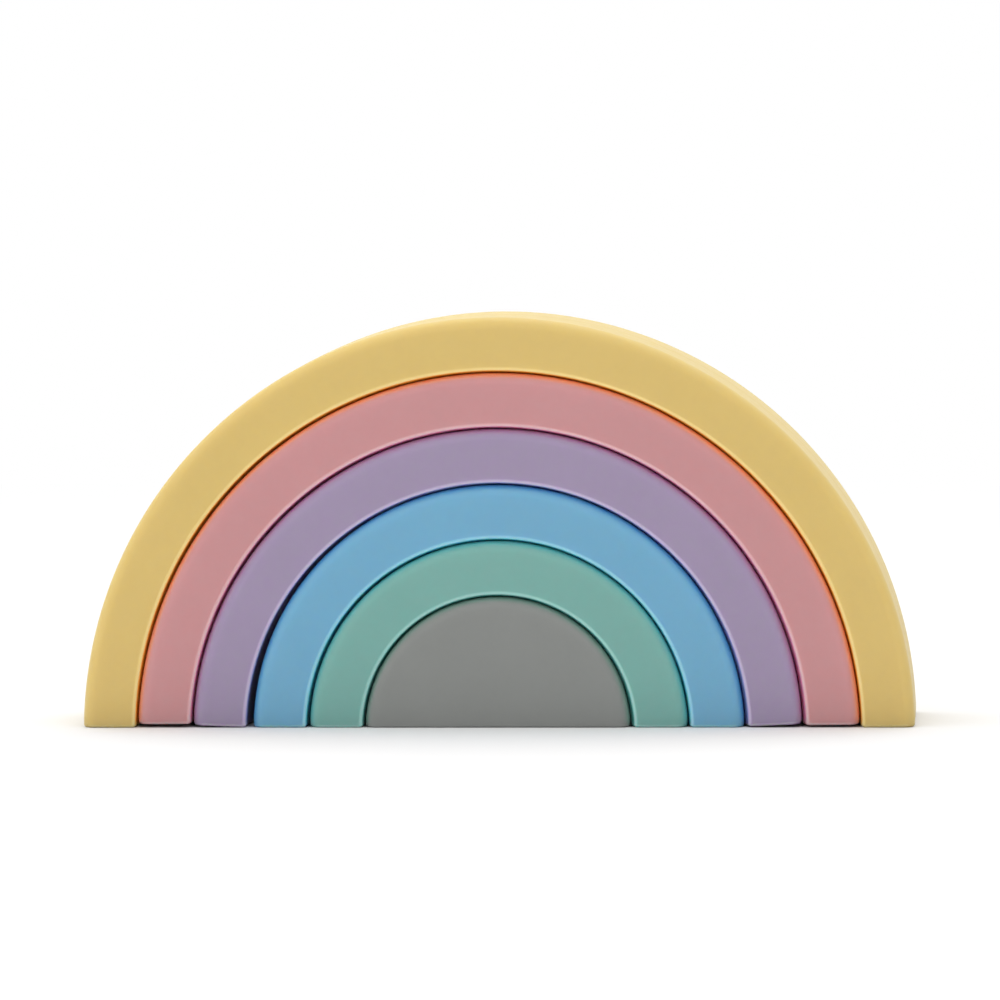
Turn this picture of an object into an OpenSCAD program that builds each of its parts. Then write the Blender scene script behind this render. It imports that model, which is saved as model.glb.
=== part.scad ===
// Rainbow stacker: a solid half-round core with arches nested over it, all standing on their feet.
// Width runs along X, depth along Y and height along Z. The origin is the middle of the base.

/* [Nest] */
// Radius of the solid half-round core
core_r = 28; // [20:0.5:40]
// Thickness of every arch, from its inner to its outer curve
arch_wall = 11.25; // [7:0.05:16]
// Depth of every piece, from its front face to its back face
depth = 40; // [25:0.5:60]
// Gap between one piece and the next, beside their feet
side_gap = 0.75; // [0.5:0.05:1.5]
// Gap between one piece and the next, at their crowns
crown_gap = 0.55; // [0.4:0.05:1.5]
// Height of the core's curve centre, which lies just below its sole
core_centre_z = -0.5; // [-3:0.1:0]

/* [Edges] */
// Rounding of the front and back edges of every outer curve
outer_edge_r = 2.4; // [1.2:0.1:3]
// Rounding of the front and back edges of every inner curve
inner_edge_r = 0.9; // [0.8:0.05:1.8]
// Rounding of the edges around every sole
sole_edge_r = 0.7; // [0.2:0.05:0.85]

/* [Hidden] */
$fn = 128;

// Place of each arch in the nest, counted outwards from the core
MINT = 1;
BLUE = 2;
LILAC = 3;
PINK = 4;
YELLOW = 5;

// An edge cutter reaches this far past the faces that it trims
cutter_margin = 1;
// A cutter's arc is this much larger than its rounding, so it crosses the faces at a slight angle
arc_ease = 1.004;
// A straight cutter reaches this far into the round ones at its ends
run_overlap = 0.02;

// Outer curve, inner curve and centre height of the piece at one place in the nest
function outer_r(place) = core_r + place * (arch_wall + side_gap);
function inner_r(place) = outer_r(place) - arch_wall;
function centre_z(place) = core_centre_z - place * (side_gap - crown_gap);

// Half width, just above the sole's rounding, of a curve of radius r about a centre at height z
function foot_x(r, z) = sqrt(r * r - pow(sole_edge_r - z, 2));

// Section of a piece: radius along X and depth along Y, with its corners rounded
module section(r_in, r_out, in_edge_r) {
    difference() {
        translate([r_in, -depth / 2])
            square([r_out - r_in, depth]);
        for (side = [0, 1])
            mirror([0, side]) {
                translate([r_out - outer_edge_r, depth / 2 - outer_edge_r])
                    corner_waste(outer_edge_r);
                if (in_edge_r > 0)
                    translate([r_in + in_edge_r, depth / 2 - in_edge_r])
                        mirror([1, 0])
                            corner_waste(in_edge_r);
            }
    }
}

// Waste outside one rounded corner of the section, about the centre of the rounding
module corner_waste(edge_r) {
    difference() {
        square(edge_r + cutter_margin);
        circle(edge_r);
    }
}

// Ring of the section about the piece's own centre, cut off level at the floor
module half_ring(r_in, r_out, in_edge_r, z) {
    reach = r_out + cutter_margin;
    intersection() {
        translate([0, 0, z])
            rotate([90, 0, 0])
                rotate_extrude()
                    section(r_in, r_out, in_edge_r);
        translate([-reach, -reach, 0])
            cube([2 * reach, 2 * reach, reach]);
    }
}

// Waste outside the rounded edge of a sole: the edge is at the origin, with the foot towards -X
module sole_waste() {
    difference() {
        translate([-sole_edge_r, -cutter_margin])
            square(sole_edge_r + cutter_margin);
        translate([-sole_edge_r, sole_edge_r])
            circle(sole_edge_r * arc_ease);
    }
}

// One straight run of a sole's edge along Y, centred on the origin
module sole_run(length) {
    cut = length + 2 * run_overlap;
    translate([0, cut / 2, 0])
        rotate([90, 0, 0])
            linear_extrude(cut)
                sole_waste();
}

// One turn of a sole's edge, from +X to +Y about the centre of a corner of radius edge_r
module sole_turn(edge_r) {
    rotate_extrude(angle = 90)
        intersection() {
            translate([edge_r, 0])
                sole_waste();
            translate([0, -cutter_margin])
                square(edge_r + 2 * cutter_margin);
        }
}

// Waste all round one sole that reaches from x_in to x_out, with a corner radius for each end
module sole_edges(x_in, x_out, in_edge_r, out_edge_r) {
    front_start = x_in + in_edge_r;
    front_end = x_out - out_edge_r;
    translate([x_out, 0, 0])
        sole_run(depth - 2 * out_edge_r);
    translate([x_in, 0, 0])
        mirror([1, 0, 0])
            sole_run(depth - 2 * in_edge_r);
    for (side = [0, 1])
        mirror([0, side, 0]) {
            translate([(front_start + front_end) / 2, depth / 2, 0])
                rotate([0, 0, 90])
                    sole_run(front_end - front_start);
            translate([front_end, depth / 2 - out_edge_r, 0])
                sole_turn(out_edge_r);
            translate([front_start, depth / 2 - in_edge_r, 0])
                mirror([1, 0, 0])
                    sole_turn(in_edge_r);
        }
}

// One arch at its place in the nest, standing on two feet
module arch(place) {
    r_in = inner_r(place);
    r_out = outer_r(place);
    z = centre_z(place);
    difference() {
        half_ring(r_in, r_out, inner_edge_r, z);
        for (side = [0, 1])
            mirror([side, 0, 0])
                sole_edges(foot_x(r_in, z), foot_x(r_out, z), inner_edge_r, outer_edge_r);
    }
}

module yellow_arch() {
    color([0.83, 0.72, 0.45])
        arch(YELLOW);
}

module pink_arch() {
    color([0.77, 0.56, 0.56])
        arch(PINK);
}

module lilac_arch() {
    color([0.62, 0.56, 0.67])
        arch(LILAC);
}

module blue_arch() {
    color([0.45, 0.66, 0.77])
        arch(BLUE);
}

module mint_arch() {
    color([0.48, 0.66, 0.63])
        arch(MINT);
}

// The core is solid to its centre and stands on one sole as wide as itself
module grey_core() {
    reach = foot_x(core_r, core_centre_z);
    color([0.53, 0.53, 0.52])
        difference() {
            half_ring(0, core_r, 0, core_centre_z);
            sole_edges(-reach, reach, outer_edge_r, outer_edge_r);
        }
}

yellow_arch();
pink_arch();
lilac_arch();
blue_arch();
mint_arch();
grey_core();
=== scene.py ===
"""Rainbow stacker: silicone arches nested over a half-round core, standing on a pale floor."""
import math

import bmesh
import bpy
from mathutils import Matrix, Vector


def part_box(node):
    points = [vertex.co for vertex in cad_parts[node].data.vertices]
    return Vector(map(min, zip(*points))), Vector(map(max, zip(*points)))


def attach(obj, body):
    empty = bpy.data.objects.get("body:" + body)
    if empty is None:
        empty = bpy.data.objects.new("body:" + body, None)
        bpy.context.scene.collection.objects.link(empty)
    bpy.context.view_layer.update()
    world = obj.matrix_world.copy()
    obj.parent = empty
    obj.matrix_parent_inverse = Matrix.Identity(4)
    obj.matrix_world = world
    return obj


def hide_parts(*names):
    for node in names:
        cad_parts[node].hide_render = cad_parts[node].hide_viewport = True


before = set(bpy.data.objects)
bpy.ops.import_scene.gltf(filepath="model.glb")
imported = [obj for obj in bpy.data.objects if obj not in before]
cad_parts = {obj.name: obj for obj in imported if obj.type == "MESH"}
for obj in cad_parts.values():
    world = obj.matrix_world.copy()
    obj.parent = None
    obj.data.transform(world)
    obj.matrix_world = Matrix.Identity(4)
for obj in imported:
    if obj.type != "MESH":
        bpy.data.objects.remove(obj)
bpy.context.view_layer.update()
scene = bpy.context.scene

MM = 0.001
# Points closer together than this are at the same place
SAME_PLACE = 0.001 * MM

# Pieces by colour, from the core outwards
COLOURS = ("grey", "mint", "blue", "lilac", "pink", "yellow")
OUTERMOST = len(COLOURS) - 1

# Sizes of the nest, as in the part's own source
CORE_R = 28.0 * MM
ARCH_WALL = 11.25 * MM
SIDE_GAP = 0.75 * MM
CROWN_GAP = 0.55 * MM
CORE_CENTRE_Z = -0.5 * MM
OUTER_EDGE_R = 2.4 * MM
INNER_EDGE_R = 0.9 * MM
SOLE_EDGE_R = 0.7 * MM
HALF_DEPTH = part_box("grey_core")[1].y

# Mesh density: steps round each rounding and along each arch, and cuts across the flats between roundings
OUTER_EDGE_STEPS = 8
INNER_EDGE_STEPS = 5
SOLE_EDGE_STEPS = 4
FACE_CUTS = 7
DEPTH_CUTS = 15
CORE_CIRCLE_STEPS = 224
ARC_STEP = 1.3 * MM
# The lowest ring of an arch stands this far above its sole
ANKLE_HEIGHT = 1.6 * MM
# Soles and the core's flats have one more loop, this far in from their rounded edges
SOLE_INSET = 0.4 * MM
FACE_INSET = 0.5 * MM

# A faint moulding seam runs round the middle of every arch's outer curve. The outermost arch lies a little
# inside the CAD surface to leave room for it.
SEAM_HALF_WIDTH = 0.2 * MM
SEAM_HEIGHT = 0.05 * MM
OUTERMOST_INSET = 0.08 * MM

# Inner walls swell in behind their rounded edges over this depth, until they all but touch the next piece's
# seam, with more room near the feet
SWELL_DEPTH = 3 * MM
SEAM_CLEARANCE = 0.015 * MM
FOOT_CLEARANCE = 0.08 * MM
# On the left, where the gaps stand open, the swell starts further in: this many times the usual side gap,
# and more where a gap is wider. That comes in between these two shares of the radius, to the left.
LOOSE_RATIO = 2.4
LOOSE_FROM = 0.2
LOOSE_FULL = 0.8

# How the soft pieces settled: each leg's outward lean at the floor, left then right, fading out up the leg
LEAN = {
    "grey": (0.0, 0.0),
    "mint": (-0.22 * MM, 0.12 * MM),
    "blue": (-0.28 * MM, 0.0),
    "lilac": (0.42 * MM, 0.12 * MM),
    "pink": (0.15 * MM, 0.25 * MM),
    "yellow": (-0.15 * MM, 0.0),
}
LEAN_HEIGHT = 55 * MM
# Height of a sole's outer and inner edge above the floor, left foot then right, fading out up the leg
FOOT_RISE = {
    "pink": ((0.7 * MM, 0.75 * MM), (0.55 * MM, 0.45 * MM)),
    "lilac": ((0.5 * MM, 0.05 * MM), (0.7 * MM, 0.2 * MM)),
}
LEVEL_FEET = ((0, 0), (0, 0))
RISE_HEIGHT = 9 * MM

# Grooves between the pieces, painted with shade and with light bounced from the neighbouring piece: how far
# the painted tone reaches on to the piece over the groove, on to the one under it, and in behind the front
GROOVE_INNER_REACH = 0.2 * MM
GROOVE_OUTER_REACH = 1.35 * MM
GROOVE_DEPTH = 6 * MM
# The painted groove tone shows only where another piece is within this reach, in full where no more than
# this is open
NEIGHBOUR_REACH = 4 * MM
NEIGHBOUR_SAMPLES = 4
NEIGHBOUR_OPENING = 0.85
# Brings the painted highlight on rounded edges to its full strength at the middle of the rounding
EDGE_HIGHLIGHT_GAIN = 2

# Each pigment, its painted highlight on rounded edges, and its painted shade and bounce light in the
# grooves on its inner and outer side. The core has no groove on its inner side, and the outermost arch none
# on its outer side.
TONES = {
    "grey": {
        "Colour": (0.258, 0.266, 0.255),
        "Edge Painted Highlight": (0.33, 0.34, 0.33),
        "Outer Groove Painted Light": (0.22, 0.33, 0.28),
    },
    "mint": {
        "Colour": (0.199, 0.413, 0.373),
        "Edge Painted Highlight": (0.39, 0.65, 0.61),
        "Inner Groove Painted Light": (0.12, 0.45, 0.42),
        "Outer Groove Painted Light": (0.16, 0.50, 0.48),
    },
    "blue": {
        "Colour": (0.171, 0.400, 0.562),
        "Edge Painted Highlight": (0.34, 0.64, 0.77),
        "Inner Groove Painted Light": (0.12, 0.60, 0.75),
        "Outer Groove Painted Light": (0.10, 0.36, 0.62),
    },
    "lilac": {
        "Colour": (0.345, 0.281, 0.405),
        "Edge Painted Highlight": (0.56, 0.49, 0.63),
        "Inner Groove Painted Light": (0.28, 0.31, 0.62),
        "Outer Groove Painted Light": (0.43, 0.26, 0.42),
    },
    "pink": {
        "Colour": (0.548, 0.280, 0.287),
        "Edge Painted Highlight": (0.73, 0.48, 0.50),
        "Inner Groove Painted Light": (0.76, 0.24, 0.42),
        "Outer Groove Painted Light": (0.88, 0.36, 0.20),
    },
    "yellow": {
        "Colour": (0.645, 0.483, 0.171),
        "Edge Painted Highlight": (0.82, 0.66, 0.29),
        "Inner Groove Painted Light": (0.95, 0.44, 0.05),
    },
}

# How far red, green and blue light spreads inside each pigment, as a share of the reach
SPREAD = {
    "grey": (0.5, 0.5, 0.5),
    "mint": (0.3, 0.8, 0.7),
    "blue": (0.3, 0.6, 1.0),
    "lilac": (0.7, 0.4, 0.9),
    "pink": (1.0, 0.5, 0.5),
    "yellow": (0.8, 0.8, 0.7),
}
SPREAD_REACH = 3 * MM
SILICONE_IOR = 1.41

# Skin: each pattern's scale, in cells to the metre, and how far it changes the tone, roughness or height
CLOUD_SCALE = 45
CLOUD_DETAIL = 3
CLOUD_CONTRAST = 0.06
MOTTLE_SCALE = 520
MOTTLE_DETAIL = 4
MOTTLE_CONTRAST = 0.05
MOTTLE_RANGE = (0.3, 0.7)
ROUGHNESS_RANGE = (0.42, 0.54)
GRAIN_SCALE = 3600
GRAIN_DETAIL = 2
GRAIN_STRENGTH = 0.25
GRAIN_HEIGHT = 0.02 * MM

# Camera, at the photograph's viewing angle and scale
CAMERA_AZIMUTH = math.radians(3.35)
CAMERA_ELEVATION = math.radians(3.5)
CAMERA_ROLL = math.radians(-0.3)
CAMERA_DISTANCE = 1700 * MM
CAMERA_CENTRE = Vector((0, -HALF_DEPTH, 43 * MM))
CAMERA_AIM = Vector((0.83 * MM, -HALF_DEPTH, 48.06 * MM))
SENSOR_WIDTH = 36
IMAGE_PIXELS = 1000
PIXELS_PER_MM = 4.7545

# Room light: its level at the horizon and overhead, and the share of it that is left on the right. Each
# change comes in between two heights, depths or widths of the direction looked in.
HORIZON_LEVEL = 1.23
OVERHEAD_LEVEL = 1.52
OVERHEAD_RISE = (0.15, 0.9)
BACK_RISE = (-0.7, 0.3)
RIGHT_SHARE = 0.5
RIGHT_FALL = (0.3, 0.95)
LAMP_POWER = 0.38
LAMP_SPREAD = math.radians(45)
LAMP_DIRECTION = Vector((0.1, 0.4, 1.0))

# Floor: its tone as seen, the distances between which it fades to white, and its tone for the light that it
# sends back up, painted darker under the pieces and just in front of and behind them as contact shade
FLOOR_HALF_WIDTH = 3000 * MM
FLOOR_TONE = 0.8
FLOOR_FADE = (250 * MM, 900 * MM)
CONTACT_NEAR = 3 * MM
CONTACT_FAR = 9 * MM
CONTACT_SHADE_TONE = 0.45
OPEN_TONE = 0.85


def smooth_step(low, high, value):
    """0 below low, 1 above high, and an even S-curve between."""
    t = min(max((value - low) / (high - low), 0.0), 1.0)
    return t * t * (3 - 2 * t)


def new_piece(name, bm):
    """A finished bmesh as a smooth-shaded object at the origin."""
    bmesh.ops.recalc_face_normals(bm, faces=bm.faces)
    for face in bm.faces:
        face.smooth = True
    mesh = bpy.data.meshes.new(name)
    bm.to_mesh(mesh)
    bm.free()
    piece = bpy.data.objects.new(name, mesh)
    scene.collection.objects.link(piece)
    return piece


def round_off(bm, geom, radius, steps, affect="EDGES"):
    """Round edges, or the corners of a flat outline, to a circular arc."""
    bmesh.ops.bevel(
        bm,
        geom=geom,
        offset=radius,
        offset_type="OFFSET",
        affect=affect,
        segments=steps,
        profile=0.5,
        material=-1,
        clamp_overlap=False,
        loop_slide=True,
    )


def edges_on(bm, test):
    """Edges whose two ends both pass a test of their place."""
    return [e for e in bm.edges if all(test(v.co) for v in e.verts)]


def on_floor(co):
    """Test for a place at floor level."""
    return abs(co.z) < SAME_PLACE


def draw_to_floor(bm, edges):
    """Draw edges straight down to the floor, as the walls of a foot."""
    drawn = bmesh.ops.extrude_edge_only(bm, edges=edges)["geom"]
    lowest = [g for g in drawn if isinstance(g, bmesh.types.BMVert)]
    bmesh.ops.scale(bm, vec=(1, 1, 0), verts=lowest)


def mark_painted_light(bm, r_in, r_out, centre_z, covered):
    """Store where each point gets a painted highlight on rounded edges, or painted shade and bounce light
    in the grooves, for the shader to read.
    """
    names = ("edge", "inner_groove_painted_light", "outer_groove_painted_light")
    marks = bm.verts.layers.float
    for name in names:
        marks.new(name)
    edge, inner_groove_painted_light, outer_groove_painted_light = (marks[name] for name in names)
    for v in bm.verts:
        r = math.hypot(v.co.x, v.co.z - centre_z)
        depth = HALF_DEPTH - abs(v.co.y)
        inner = max(0.0, (r_in + INNER_EDGE_R - r) / INNER_EDGE_R)
        inner *= max(0.0, 1 - depth / INNER_EDGE_R)
        sole = max(0.0, 1 - v.co.z / SOLE_EDGE_R)
        sole *= max(0.0, 1 - depth / SOLE_EDGE_R)
        # painted highlight: paler colour on the inner and sole roundings, where light catches them
        v[edge] = min(1.0, EDGE_HIGHLIGHT_GAIN * max(inner, sole))
        shown = smooth_step(0, 2 * SOLE_EDGE_R, v.co.z)
        shown *= 1 - smooth_step(GROOVE_DEPTH / 2, GROOVE_DEPTH, depth)
        # painted shade and bounce light in the grooves, fading out near the floor and deeper in behind the
        # front
        v[inner_groove_painted_light] = shown * (1 - smooth_step(r_in, r_in + GROOVE_INNER_REACH, r))
        v[outer_groove_painted_light] = shown * smooth_step(r_out - GROOVE_OUTER_REACH, r_out, r) if covered else 0


def arch_section(bm, r_in, r_out, centre_z):
    """Rounded section at the right foot: radius along X, depth along Y, a seam on the outer curve."""
    outline = (
        (r_in, -HALF_DEPTH),
        (r_out, -HALF_DEPTH),
        (r_out, -SEAM_HALF_WIDTH),
        (r_out + SEAM_HEIGHT, 0),
        (r_out, SEAM_HALF_WIDTH),
        (r_out, HALF_DEPTH),
        (r_in, HALF_DEPTH),
        (r_in, 0),
    )
    verts = [bm.verts.new((r, y, centre_z)) for r, y in outline]
    bm.faces.new(verts)
    corners = [v for v in verts if abs(abs(v.co.y) - HALF_DEPTH) < SAME_PLACE]
    middle = (r_in + r_out) / 2
    outer_corners = [v for v in corners if v.co.x > middle]
    inner_corners = [v for v in corners if v.co.x < middle]
    round_off(bm, outer_corners, OUTER_EDGE_R, OUTER_EDGE_STEPS, "VERTICES")
    round_off(bm, inner_corners, INNER_EDGE_R, INNER_EDGE_STEPS, "VERTICES")
    bmesh.ops.delete(bm, geom=list(bm.faces), context="FACES_ONLY")
    across = [e for e in bm.edges if abs(e.verts[0].co.x - e.verts[1].co.x) > ARCH_WALL / 2]
    along = [e for e in bm.edges if abs(e.verts[0].co.y - e.verts[1].co.y) > HALF_DEPTH / 2]
    bmesh.ops.subdivide_edges(bm, edges=across, cuts=FACE_CUTS)
    bmesh.ops.subdivide_edges(bm, edges=along, cuts=DEPTH_CUTS)


def outer_curve(place):
    """Radius and centre height of a piece's outer curve, counted outwards from the core."""
    return CORE_R + place * (ARCH_WALL + SIDE_GAP), CORE_CENTRE_Z - place * (SIDE_GAP - CROWN_GAP)


def lean_at(colour, x, z):
    """Outward lean of a piece's leg at one height."""
    left, right = LEAN[colour]
    return (left if x < 0 else right) * (1 - smooth_step(0, LEAN_HEIGHT, z))


def swell_inner_wall(bm, place, r_in, centre_z):
    """Bring the inner wall in behind its edges, until it all but touches the next piece's seam."""
    colour = COLOURS[place]
    next_colour = COLOURS[place - 1]
    next_r, next_z = outer_curve(place - 1)
    next_seam = SEAM_HEIGHT if place > 1 else 0
    flat = HALF_DEPTH - INNER_EDGE_R
    for v in bm.verts:
        arm = Vector((v.co.x, 0, v.co.z - centre_z))
        across = 1 - smooth_step(r_in, r_in + ARCH_WALL / 2, arm.length)
        arm.normalize()
        gap = r_in - next_r - (next_z - centre_z) * arm.z
        gap += abs(arm.x) * (lean_at(colour, v.co.x, v.co.z) - lean_at(next_colour, v.co.x, v.co.z))
        start = LOOSE_RATIO * gap * gap / SIDE_GAP * smooth_step(LOOSE_FROM, LOOSE_FULL, -arm.x)
        middle = smooth_step(start, 2 * start + SWELL_DEPTH, flat - abs(v.co.y))
        above = smooth_step(0, RISE_HEIGHT, v.co.z)
        clearance = FOOT_CLEARANCE + (SEAM_CLEARANCE - FOOT_CLEARANCE) * above
        arm.z *= above
        v.co -= arm * across * middle * (gap - next_seam - clearance)


def settle(bm, colour, r_in, centre_z):
    """Lean the legs and lift the soles a little, as the soft pieces came to rest."""
    left, right = FOOT_RISE.get(colour, LEVEL_FEET)
    for v in bm.verts:
        r = math.hypot(v.co.x, v.co.z - centre_z)
        share = min(max((r - r_in) / ARCH_WALL, 0.0), 1.0)
        outer, inner = left if v.co.x < 0 else right
        lift = (inner + share * (outer - inner)) * (1 - smooth_step(0, RISE_HEIGHT, v.co.z))
        v.co.x += math.copysign(1, v.co.x) * lean_at(colour, v.co.x, v.co.z)
        v.co.z += lift


def make_arch(place):
    """An arch at its place in the nest, counted outwards from the core."""
    colour = COLOURS[place]
    r_out, centre_z = outer_curve(place)
    r_in = r_out - ARCH_WALL
    if place == OUTERMOST:
        r_out -= OUTERMOST_INSET
    centre = Vector((0, 0, centre_z))
    ankle_turn = math.asin((ANKLE_HEIGHT - centre_z) / r_in)
    sweep = math.pi - 2 * ankle_turn

    bm = bmesh.new()
    arch_section(bm, r_in, r_out, centre_z)
    to_ankle = Matrix.Rotation(-ankle_turn, 3, "Y")
    bmesh.ops.rotate(bm, cent=centre, matrix=to_ankle, verts=bm.verts)
    bmesh.ops.spin(
        bm,
        geom=list(bm.verts) + list(bm.edges),
        cent=centre,
        axis=(0, -1, 0),
        angle=sweep,
        steps=round(sweep * r_out / ARC_STEP),
    )
    draw_to_floor(bm, [e for e in bm.edges if e.is_boundary])
    rims = edges_on(bm, on_floor)
    bmesh.ops.edgeloop_fill(bm, edges=rims)
    round_off(bm, rims, SOLE_EDGE_R, SOLE_EDGE_STEPS)
    soles = [f for f in bm.faces if all(on_floor(v.co) for v in f.verts)]
    bmesh.ops.inset_individual(bm, faces=soles, thickness=SOLE_INSET)
    mark_painted_light(bm, r_in, r_out, centre_z, place < OUTERMOST)
    swell_inner_wall(bm, place, r_in, centre_z)
    settle(bm, colour, r_in, centre_z)
    return new_piece(colour + "_moulding", bm)


def make_core():
    """The solid half-round core: half a disc drawn out to its depth, set on its sole and rounded off."""
    bm = bmesh.new()
    upright = Matrix.Translation((0, -HALF_DEPTH, CORE_CENTRE_Z)) @ Matrix.Rotation(math.pi / 2, 4, "X")
    bmesh.ops.create_circle(bm, cap_ends=True, radius=CORE_R, segments=CORE_CIRCLE_STEPS, matrix=upright)
    bmesh.ops.bisect_plane(
        bm,
        geom=list(bm.verts) + list(bm.edges) + list(bm.faces),
        plane_co=(0, 0, ANKLE_HEIGHT),
        plane_no=(0, 0, -1),
        clear_outer=True,
    )
    cut = edges_on(bm, lambda co: abs(co.z - ANKLE_HEIGHT) < SAME_PLACE)
    draw_to_floor(bm, cut)
    bmesh.ops.dissolve_edges(bm, edges=cut, use_verts=False)
    drawn = bmesh.ops.extrude_face_region(bm, geom=list(bm.faces))["geom"]
    back = [g for g in drawn if isinstance(g, bmesh.types.BMVert)]
    bmesh.ops.translate(bm, vec=(0, 2 * HALF_DEPTH, 0), verts=back)
    bmesh.ops.recalc_face_normals(bm, faces=bm.faces)
    outlines = [e for e in bm.edges if abs(e.verts[0].co.y - e.verts[1].co.y) < SAME_PLACE]
    arcs = [e for e in outlines if not all(on_floor(v.co) for v in e.verts)]
    round_off(bm, arcs, OUTER_EDGE_R, OUTER_EDGE_STEPS)
    round_off(bm, edges_on(bm, on_floor), SOLE_EDGE_R, SOLE_EDGE_STEPS)
    flats = [f for f in bm.faces if len(f.verts) > 4]
    bmesh.ops.inset_individual(bm, faces=flats, thickness=FACE_INSET, use_even_offset=True)
    mark_painted_light(bm, -CORE_R, CORE_R, CORE_CENTRE_Z, True)
    return new_piece(COLOURS[0] + "_moulding", bm)


def feed(tree, socket, value):
    """Link a socket to another node's output, or set it to a plain value."""
    if isinstance(value, bpy.types.NodeSocket):
        tree.links.new(value, socket)
    else:
        socket.default_value = value


def add_math(tree, operation, *values):
    """Sum, product or the like of sockets and plain numbers."""
    node = tree.nodes.new("ShaderNodeMath")
    node.operation = operation
    for socket, value in zip(node.inputs, values):
        feed(tree, socket, value)
    return node.outputs["Value"]


def add_ramp(tree, value, low, high, to_low=0, to_high=1, eased=False):
    """Bring one range of a value on to another, in a straight line or an even S-curve."""
    node = tree.nodes.new("ShaderNodeMapRange")
    if eased:
        node.interpolation_type = "SMOOTHSTEP"
    node.inputs["From Min"].default_value = low
    node.inputs["From Max"].default_value = high
    node.inputs["To Min"].default_value = to_low
    node.inputs["To Max"].default_value = to_high
    feed(tree, node.inputs["Value"], value)
    return node.outputs["Result"]


def add_mix(tree, data_type, factor, a, b, blend_type="MIX"):
    """Mix two values or colours."""
    node = tree.nodes.new("ShaderNodeMix")
    node.data_type = data_type
    node.blend_type = blend_type
    feed(tree, node.inputs["Factor"], factor)
    feed(tree, node.inputs["A"], a)
    feed(tree, node.inputs["B"], b)
    return node.outputs["Result"]


def add_noise(tree, place, scale, detail):
    """Soft random pattern at a place."""
    node = tree.nodes.new("ShaderNodeTexNoise")
    node.inputs["Scale"].default_value = scale
    node.inputs["Detail"].default_value = detail
    feed(tree, node.inputs["Vector"], place)
    return node.outputs["Fac"]


def add_mark(tree, name):
    """One of the marks that the mouldings carry on their points."""
    node = tree.nodes.new("ShaderNodeAttribute")
    node.attribute_name = name
    return node.outputs["Fac"]


def split_axes(tree, vector):
    """The X, Y and Z of a place or direction, by name."""
    node = tree.nodes.new("ShaderNodeSeparateXYZ")
    feed(tree, node.inputs["Vector"], vector)
    return node.outputs


def mix_shaders(tree, factor, first, second):
    """The first shader where the factor is 0, and the second where it is 1."""
    node = tree.nodes.new("ShaderNodeMixShader")
    for socket, value in zip(node.inputs, (factor, first, second)):
        feed(tree, socket, value)
    return node.outputs["Shader"]


def background_rays(tree):
    """Mask of the rays that show the white background: the camera's, and those by way of gloss or glass."""
    ray = tree.nodes.new("ShaderNodeLightPath").outputs
    seen_or_glossy = add_math(tree, "MAXIMUM", ray["Is Camera Ray"], ray["Is Glossy Ray"])
    return add_math(tree, "MAXIMUM", seen_or_glossy, ray["Is Transmission Ray"])


def skin_and_painted_light_group():
    """Finish shared by every moulding: faint pigment clouds and a fine moulded grain, with a painted
    highlight on rounded edges and painted shade and bounce light in the grooves where another piece is
    close."""
    group = bpy.data.node_groups.new("silicone_skin_and_painted_light", "ShaderNodeTree")
    sockets = group.interface
    for name in ("Colour", "Edge Painted Highlight", "Inner Groove Painted Light", "Outer Groove Painted Light"):
        sockets.new_socket(name, in_out="INPUT", socket_type="NodeSocketColor")
    sockets.new_socket("Colour", in_out="OUTPUT", socket_type="NodeSocketColor")
    for name in ("Roughness", "Height"):
        sockets.new_socket(name, in_out="OUTPUT", socket_type="NodeSocketFloat")
    given = group.nodes.new("NodeGroupInput").outputs
    result = group.nodes.new("NodeGroupOutput").inputs
    place = group.nodes.new("ShaderNodeTexCoord").outputs["Object"]

    clouds = add_noise(group, place, CLOUD_SCALE, CLOUD_DETAIL)
    mottle = add_noise(group, place, MOTTLE_SCALE, MOTTLE_DETAIL)
    grain = add_noise(group, place, GRAIN_SCALE, GRAIN_DETAIL)
    lowest = 1 - (CLOUD_CONTRAST + MOTTLE_CONTRAST) / 2
    shade = add_math(group, "MULTIPLY_ADD", clouds, CLOUD_CONTRAST, lowest)
    tone = add_math(group, "MULTIPLY_ADD", mottle, MOTTLE_CONTRAST, shade)

    neighbour = group.nodes.new("ShaderNodeAmbientOcclusion")
    neighbour.samples = NEIGHBOUR_SAMPLES
    neighbour.inputs["Distance"].default_value = NEIGHBOUR_REACH
    beside = add_ramp(group, neighbour.outputs["AO"], 1, NEIGHBOUR_OPENING)
    # painted highlight on the rounded edges
    colour = add_mix(group, "RGBA", add_mark(group, "edge"), given["Colour"], given["Edge Painted Highlight"])
    # painted shade and bounce light in the grooves, only where another piece is close
    for side in ("Inner", "Outer"):
        groove = add_math(group, "MULTIPLY", add_mark(group, side.lower() + "_groove_painted_light"), beside)
        colour = add_mix(group, "RGBA", groove, colour, given[side + " Groove Painted Light"])
    colour = add_mix(group, "RGBA", 1, colour, tone, "MULTIPLY")

    feed(group, result["Colour"], colour)
    feed(group, result["Roughness"], add_ramp(group, mottle, *MOTTLE_RANGE, *ROUGHNESS_RANGE))
    feed(group, result["Height"], grain)
    return group


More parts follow.
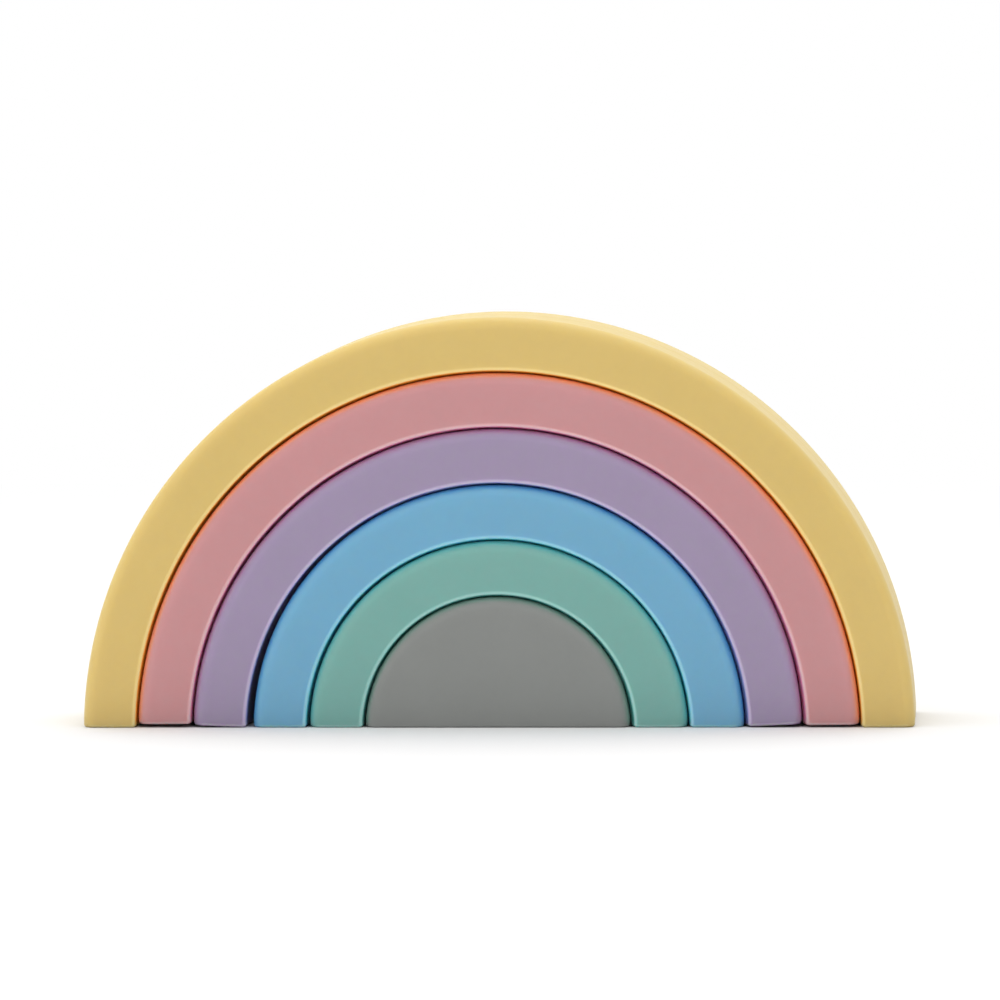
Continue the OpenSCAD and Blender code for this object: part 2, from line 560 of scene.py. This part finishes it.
def silicone(colour, group):
    """Soft matt silicone of one pigment."""
    material = bpy.data.materials.new(colour + "_silicone")
    material.use_nodes = True
    nodes = material.node_tree.nodes
    link = material.node_tree.links.new
    shader = nodes["Principled BSDF"]
    shader.inputs["IOR"].default_value = SILICONE_IOR
    shader.inputs["Subsurface Weight"].default_value = 1
    shader.inputs["Subsurface Radius"].default_value = SPREAD[colour]
    shader.inputs["Subsurface Scale"].default_value = SPREAD_REACH
    finish_and_painted_light = nodes.new("ShaderNodeGroup")
    finish_and_painted_light.node_tree = group
    # pigment, with its painted edge highlight and painted groove shade and bounce light
    for name, tone in TONES[colour].items():
        finish_and_painted_light.inputs[name].default_value = (*tone, 1)
    relief = nodes.new("ShaderNodeBump")
    relief.inputs["Strength"].default_value = GRAIN_STRENGTH
    relief.inputs["Distance"].default_value = GRAIN_HEIGHT
    link(finish_and_painted_light.outputs["Colour"], shader.inputs["Base Color"])
    link(finish_and_painted_light.outputs["Roughness"], shader.inputs["Roughness"])
    link(finish_and_painted_light.outputs["Height"], relief.inputs["Height"])
    link(relief.outputs["Normal"], shader.inputs["Normal"])
    return material


def look_at(eye, aim, roll):
    """Place of a camera or lamp at eye that points at aim, rolled about its line of sight."""
    turn = (aim - eye).to_track_quat("-Z", "Y").to_matrix().to_4x4()
    return Matrix.Translation(eye) @ turn @ Matrix.Rotation(roll, 4, "Z")


def add_camera():
    """A camera at the photograph's distance, angle and frame."""
    data = bpy.data.cameras.new("camera")
    data.sensor_width = SENSOR_WIDTH
    data.lens = SENSOR_WIDTH * CAMERA_DISTANCE / (IMAGE_PIXELS / PIXELS_PER_MM * MM)
    camera = bpy.data.objects.new("camera", data)
    back = Vector(
        (
            math.sin(CAMERA_AZIMUTH) * math.cos(CAMERA_ELEVATION),
            -math.cos(CAMERA_AZIMUTH) * math.cos(CAMERA_ELEVATION),
            math.sin(CAMERA_ELEVATION),
        )
    )
    camera.matrix_world = look_at(CAMERA_CENTRE + back * CAMERA_DISTANCE, CAMERA_AIM, CAMERA_ROLL)
    scene.collection.objects.link(camera)
    scene.camera = camera


def add_light():
    """A soft white room that brightens overhead and towards the back, and a broad lamp there."""
    world = bpy.data.worlds.new("soft_room")
    scene.world = world
    world.use_nodes = True
    tree = world.node_tree
    towards = split_axes(tree, tree.nodes.new("ShaderNodeTexCoord").outputs["Generated"])
    up = add_ramp(tree, towards["Z"], *OVERHEAD_RISE, eased=True)
    back = add_ramp(tree, towards["Y"], *BACK_RISE, eased=True)
    right = add_ramp(tree, towards["X"], *RIGHT_FALL, 1, RIGHT_SHARE, eased=True)
    bright = add_math(tree, "MULTIPLY", up, back)
    room = add_ramp(tree, bright, 0, 1, HORIZON_LEVEL, OVERHEAD_LEVEL)
    dimmed = add_math(tree, "MULTIPLY", room, right)
    level = add_mix(tree, "FLOAT", background_rays(tree), dimmed, 1)
    background = tree.nodes["Background"].inputs
    background["Color"].default_value = (1, 1, 1, 1)
    feed(tree, background["Strength"], level)

    lamp = bpy.data.lights.new("overhead_lamp", "SUN")
    lamp.energy = LAMP_POWER
    lamp.angle = LAMP_SPREAD
    overhead = bpy.data.objects.new("overhead_lamp", lamp)
    overhead.matrix_world = look_at(LAMP_DIRECTION, Vector((0, 0, 0)), 0)
    scene.collection.objects.link(overhead)


def add_floor():
    """Pale floor: white to the camera, a little darker to the light that it sends back up, with painted
    contact shade near the pieces.
    """
    bm = bmesh.new()
    bmesh.ops.create_grid(bm, x_segments=1, y_segments=1, size=FLOOR_HALF_WIDTH)
    floor = new_piece("floor", bm)
    material = bpy.data.materials.new("floor_paper")
    material.use_nodes = True
    tree = material.node_tree
    tree.nodes.remove(tree.nodes["Principled BSDF"])
    place = tree.nodes.new("ShaderNodeTexCoord").outputs["Object"]

    paper = tree.nodes.new("ShaderNodeBsdfDiffuse")
    paper.inputs["Color"].default_value = (FLOOR_TONE, FLOOR_TONE, FLOOR_TONE, 1)
    white = tree.nodes.new("ShaderNodeEmission")
    white.inputs["Strength"].default_value = 1
    away = tree.nodes.new("ShaderNodeVectorMath")
    away.operation = "LENGTH"
    feed(tree, away.inputs[0], place)
    fade = add_ramp(tree, away.outputs["Value"], *FLOOR_FADE, eased=True)
    seen = mix_shaders(tree, fade, paper.outputs["BSDF"], white.outputs["Emission"])

    # painted contact shade: the floor sends back less light near the pieces
    reach = add_math(tree, "ABSOLUTE", split_axes(tree, place)["Y"])
    contact = (HALF_DEPTH + CONTACT_NEAR, HALF_DEPTH + CONTACT_FAR)
    bounced = tree.nodes.new("ShaderNodeBsdfDiffuse")
    feed(tree, bounced.inputs["Color"], add_ramp(tree, reach, *contact, CONTACT_SHADE_TONE, OPEN_TONE))
    surface = mix_shaders(tree, background_rays(tree), bounced.outputs["BSDF"], seen)
    feed(tree, tree.nodes["Material Output"].inputs["Surface"], surface)
    floor.data.materials.append(material)


scene.view_settings.view_transform = "Standard"
add_camera()
add_light()
add_floor()
skin_and_painted_light = skin_and_painted_light_group()
for place, colour in enumerate(COLOURS):
    node = colour + ("_arch" if place else "_core")
    piece = make_arch(place) if place else make_core()
    piece.data.materials.append(silicone(colour, skin_and_painted_light))
    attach(piece, colour if place else "core")
    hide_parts(node)
